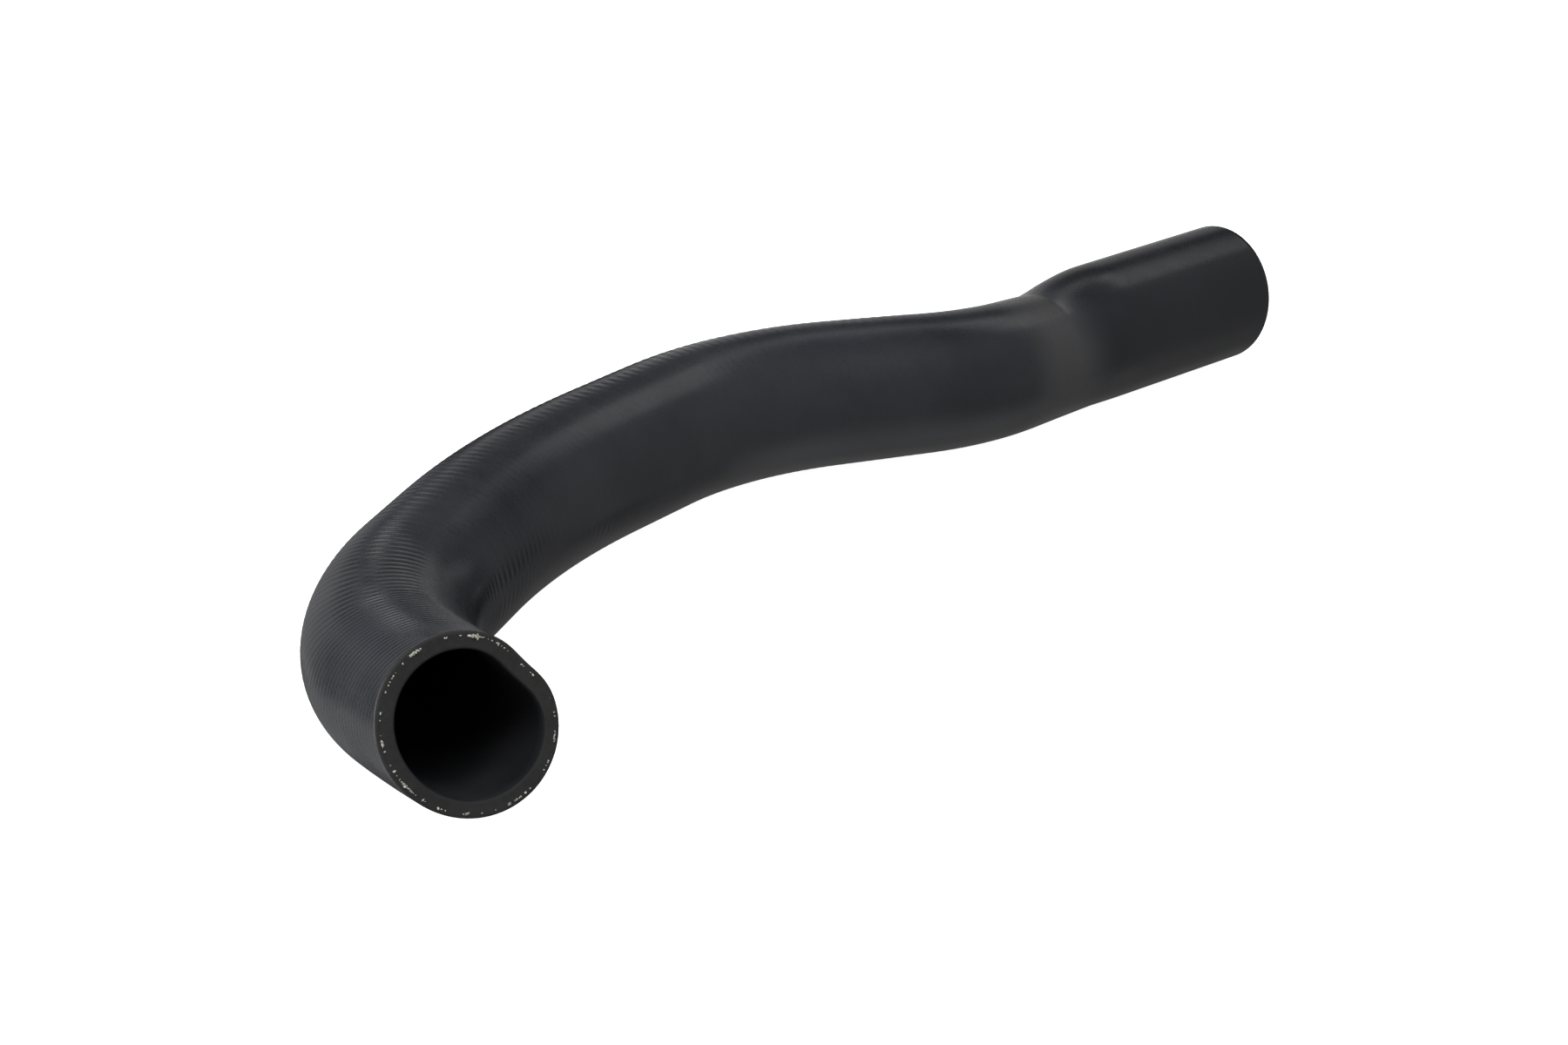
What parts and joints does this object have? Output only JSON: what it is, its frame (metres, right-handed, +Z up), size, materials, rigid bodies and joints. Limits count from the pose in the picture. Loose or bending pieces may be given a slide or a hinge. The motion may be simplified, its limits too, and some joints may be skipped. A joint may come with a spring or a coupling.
{
  "type": "turbo hose",
  "caption": "Moulded rubber charge-air hose that bends round an elbow and a long sweep, narrows to a neck and widens to a straight outlet socket.",
  "frame": {"origin": "middle of the underside of the hose as it lies flat", "axes": "+X along the hose's length towards the outlet, +Z up from the surface that it lies on"},
  "size_m": [0.4606, 0.219, 0.0606],
  "materials": {
    "rubber": "matte"
  },
  "bodies": {
    "root": {"hose": "rubber"}
  },
  "joints": []
}
